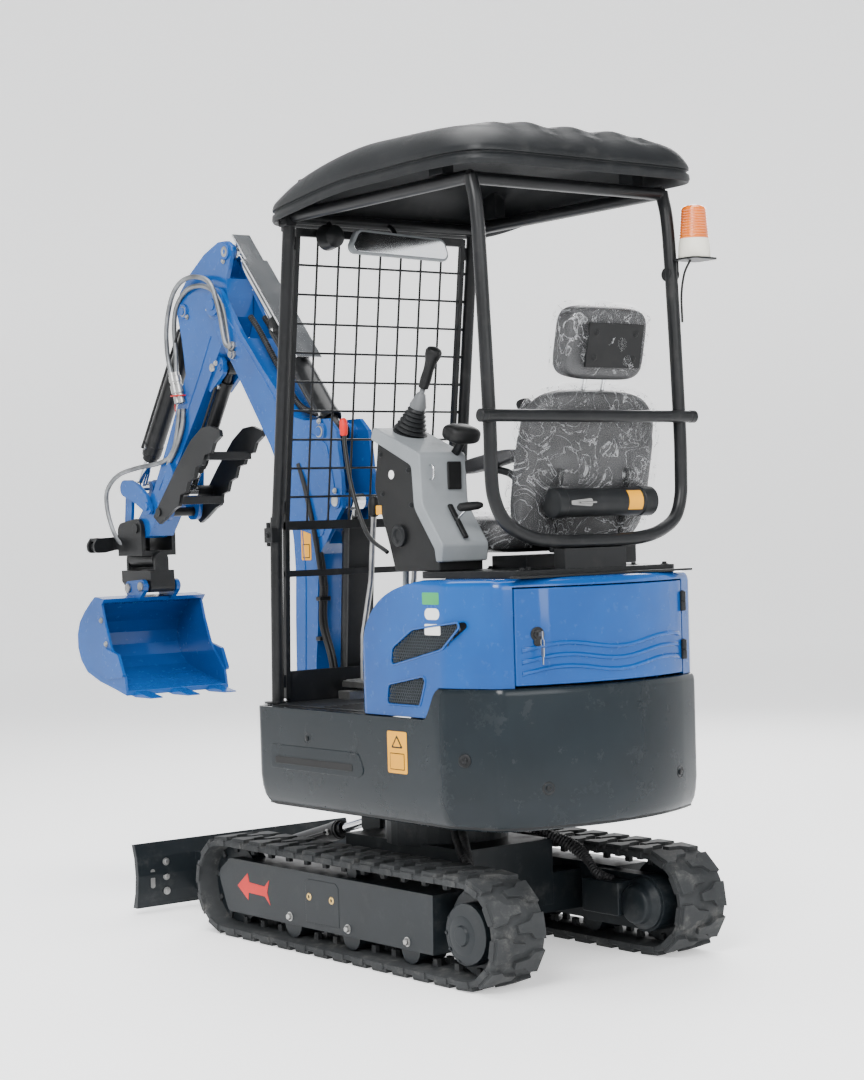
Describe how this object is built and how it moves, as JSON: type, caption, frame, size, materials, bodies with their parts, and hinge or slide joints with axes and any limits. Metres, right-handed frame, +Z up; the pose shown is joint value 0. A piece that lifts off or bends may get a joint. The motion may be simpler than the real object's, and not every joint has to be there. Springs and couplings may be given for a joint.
{
  "type": "mini excavator",
  "caption": "Small tracked excavator with an open canopy, short rounded tail, swinging boom, arm with thumb, tilting bucket and a front dozer blade.",
  "frame": {"origin": "middle of the bounding box at ground level; the slewing axis is 0.552 m behind it", "axes": "+X is the machine's left, +Y its rear, +Z up; the boom and blade point along -Y"},
  "size_m": [0.885, 2.744, 2.4062],
  "materials": {
    "blue_paint": "gloss blue paint",
    "black_paint": "satin black paint",
    "frame_paint": "dark grey paint",
    "skirt_paint": "dark blue-grey satin paint",
    "rubber": "moulded rubber",
    "roof_plastic": "moulded black plastic",
    "console_plastic": "silver-grey moulding",
    "seat_vinyl": "black vinyl",
    "tube_plastic": "black plastic",
    "amber": "clear amber lens",
    "steel": "ground and chromed steel",
    "cast_iron": "cast iron"
  },
  "bodies": {
    "undercarriage": {"car_body": "frame_paint", "track_frame_left": "frame_paint", "track_frame_right": "frame_paint", "rubber_track_left": "rubber", "rubber_track_right": "rubber"},
    "blade": {"dozer_blade": "frame_paint"},
    "blade_barrel": {"blade_cylinder_barrel": "black_paint"},
    "blade_rod": {"blade_cylinder_rod": "steel"},
    "upper": {"main_frame": "black_paint", "lower_skirt": "skirt_paint", "floor_plate": "black_paint", "engine_block": "cast_iron", "hood_left": "blue_paint", "hood_right": "blue_paint", "seat_deck": "black_paint", "canopy_frame": "black_paint", "canopy_roof": "roof_plastic", "front_guard": "black_paint", "beacon": "amber", "seat_cushion": "seat_vinyl", "seat_back": "seat_vinyl", "headrest": "seat_vinyl", "document_tube": "tube_plastic", "console_left": "console_plastic", "console_right": "console_plastic", "travel_levers": "steel"},
    "engine_door": {"engine_door": "blue_paint"},
    "swing_post": {"swing_post": "black_paint"},
    "boom": {"boom": "blue_paint"},
    "boom_barrel": {"boom_cylinder_barrel": "black_paint"},
    "boom_rod": {"boom_cylinder_rod": "steel"},
    "arm_barrel": {"arm_cylinder_barrel": "black_paint"},
    "arm_rod": {"arm_cylinder_rod": "steel"},
    "arm": {"arm": "blue_paint"},
    "bucket_barrel": {"bucket_cylinder_barrel": "black_paint"},
    "bucket_rod": {"bucket_cylinder_rod": "steel"},
    "guide_link": {"guide_link": "blue_paint"},
    "tipping_link": {"tipping_link": "blue_paint"},
    "thumb": {"thumb": "black_paint"},
    "thumb_barrel": {"thumb_cylinder_barrel": "black_paint"},
    "thumb_rod": {"thumb_cylinder_rod": "steel"},
    "hitch": {"tilt_hitch": "black_paint"},
    "tilt_barrel": {"tilt_cylinder_barrel": "black_paint"},
    "tilt_rod": {"tilt_cylinder_rod": "steel"},
    "bucket": {"hitch_saddle": "black_paint", "bucket": "blue_paint"}
  },
  "joints": [
    {"name": "slew", "type": "hinge", "parent": "undercarriage", "child": "upper", "pos_m": [0, 0.552, 0.43], "axis": [0, 0, 1], "continuous": true},
    {"name": "blade_lift", "type": "hinge", "parent": "undercarriage", "child": "blade", "pos_m": [0, 0.132, 0.2], "axis": [1, 0, 0], "range_deg": [-22, 18]},
    {"name": "blade_cylinder_pivot", "type": "hinge", "parent": "blade", "child": "blade_barrel", "pos_m": [0, -0.523, 0.16], "axis": [1, 0, 0], "range_deg": [-2.8, 3.3]},
    {"name": "blade_cylinder_stroke", "type": "slide", "parent": "blade_barrel", "child": "blade_rod", "axis": [0, 0.9658, 0.2593], "range_m": [-0.053, 0.044]},
    {"name": "boom_swing", "type": "hinge", "parent": "upper", "child": "swing_post", "pos_m": [0, 0.032, 0.53], "axis": [0, 0, 1], "range_deg": [-55, 55]},
    {"name": "boom_lift", "type": "hinge", "parent": "swing_post", "child": "boom", "pos_m": [0, -0.068, 0.68], "axis": [-1, 0, 0], "range_deg": [-90, 3]},
    {"name": "boom_cylinder_pivot", "type": "hinge", "parent": "swing_post", "child": "boom_barrel", "pos_m": [0, 0.067, 0.745], "axis": [1, 0, 0], "range_deg": [-3.4, 88.7]},
    {"name": "boom_cylinder_stroke", "type": "slide", "parent": "boom_barrel", "child": "boom_rod", "axis": [0, 0.0791, 0.9969], "range_m": [-0.009, 0.215]},
    {"name": "arm_crowd", "type": "hinge", "parent": "boom", "child": "arm", "pos_m": [0, -0.566, 2.064], "axis": [1, 0, 0], "range_deg": [-75, 20]},
    {"name": "arm_cylinder_pivot", "type": "hinge", "parent": "boom", "child": "arm_barrel", "pos_m": [0, 0.041, 1.6], "axis": [1, 0, 0], "range_deg": [-2.5, 1]},
    {"name": "arm_cylinder_stroke", "type": "slide", "parent": "arm_barrel", "child": "arm_rod", "axis": [0, -0.6578, 0.7532], "range_m": [-0.219, 0.06]},
    {"name": "bucket_curl", "type": "hinge", "parent": "arm", "child": "hitch", "pos_m": [0, -1.148, 1.304], "axis": [-1, 0, 0], "range_deg": [-58, 30]},
    {"name": "guide_link_pivot", "type": "hinge", "parent": "arm", "child": "guide_link", "pos_m": [0, -1.069, 1.383], "axis": [1, 0, 0], "range_deg": [-16.8, 32.1]},
    {"name": "tipping_link_pivot", "type": "hinge", "parent": "hitch", "child": "tipping_link", "pos_m": [0, -1.248, 1.293], "axis": [1, 0, 0], "range_deg": [-36.4, 19]},
    {"name": "bucket_cylinder_pivot", "type": "hinge", "parent": "arm", "child": "bucket_barrel", "pos_m": [0, -0.8, 2.062], "axis": [1, 0, 0], "range_deg": [-1.4, 2.3]},
    {"name": "bucket_cylinder_stroke", "type": "slide", "parent": "bucket_barrel", "child": "bucket_rod", "axis": [0, -0.5732, -0.8194], "range_m": [-0.048, 0.091]},
    {"name": "thumb_close", "type": "hinge", "parent": "arm", "child": "thumb", "pos_m": [0, -0.948, 1.36], "axis": [-1, 0, 0], "range_deg": [0, 90]},
    {"name": "thumb_cylinder_pivot", "type": "hinge", "parent": "arm", "child": "thumb_barrel", "pos_m": [0, -0.588, 1.85], "axis": [1, 0, 0], "range_deg": [-0.5, 9.8]},
    {"name": "thumb_cylinder_stroke", "type": "slide", "parent": "thumb_barrel", "child": "thumb_rod", "axis": [0, -0.5602, -0.8284], "range_m": [-0.002, 0.123]},
    {"name": "bucket_tilt", "type": "hinge", "parent": "hitch", "child": "bucket", "pos_m": [0, -1.148, 1.19], "axis": [0, 1, 0], "range_deg": [-25, 25]},
    {"name": "tilt_cylinder_pivot", "type": "hinge", "parent": "hitch", "child": "tilt_barrel", "pos_m": [0.13, -1.343, 1.24], "axis": [0, -1, 0], "range_deg": [-13, 13]},
    {"name": "tilt_cylinder_stroke", "type": "slide", "parent": "tilt_barrel", "child": "tilt_rod", "axis": [-1, 0, 0], "range_m": [-0.024, 0.024]},
    {"name": "engine_door_hinge", "type": "hinge", "parent": "upper", "child": "engine_door", "pos_m": [-0.302, 1.3065, 0.98], "axis": [0, 0, 1], "range_deg": [0, 100]}
  ],
  "couplings": [
    {"joint": "blade_cylinder_pivot", "follows": "blade_lift", "ratio": -0.1258},
    {"joint": "blade_cylinder_stroke", "follows": "blade_lift", "m_per_rad": 0.1329},
    {"joint": "boom_cylinder_pivot", "follows": "boom_lift", "ratio": -0.9804},
    {"joint": "boom_cylinder_stroke", "follows": "boom_lift", "m_per_rad": -0.1358},
    {"joint": "arm_cylinder_pivot", "follows": "arm_crowd", "ratio": 0.0264},
    {"joint": "arm_cylinder_stroke", "follows": "arm_crowd", "m_per_rad": 0.1654},
    {"joint": "guide_link_pivot", "follows": "bucket_curl", "ratio": -0.5447},
    {"joint": "tipping_link_pivot", "follows": "bucket_curl", "ratio": 0.6182},
    {"joint": "bucket_cylinder_pivot", "follows": "bucket_curl", "ratio": -0.0311},
    {"joint": "bucket_cylinder_stroke", "follows": "bucket_curl", "m_per_rad": -0.0879},
    {"joint": "thumb_cylinder_pivot", "follows": "thumb_close", "ratio": 0.1029},
    {"joint": "thumb_cylinder_stroke", "follows": "thumb_close", "m_per_rad": 0.0771},
    {"joint": "tilt_cylinder_pivot", "follows": "bucket_tilt", "ratio": -0.5},
    {"joint": "tilt_cylinder_stroke", "follows": "bucket_tilt", "m_per_rad": -0.0496}
  ]
}
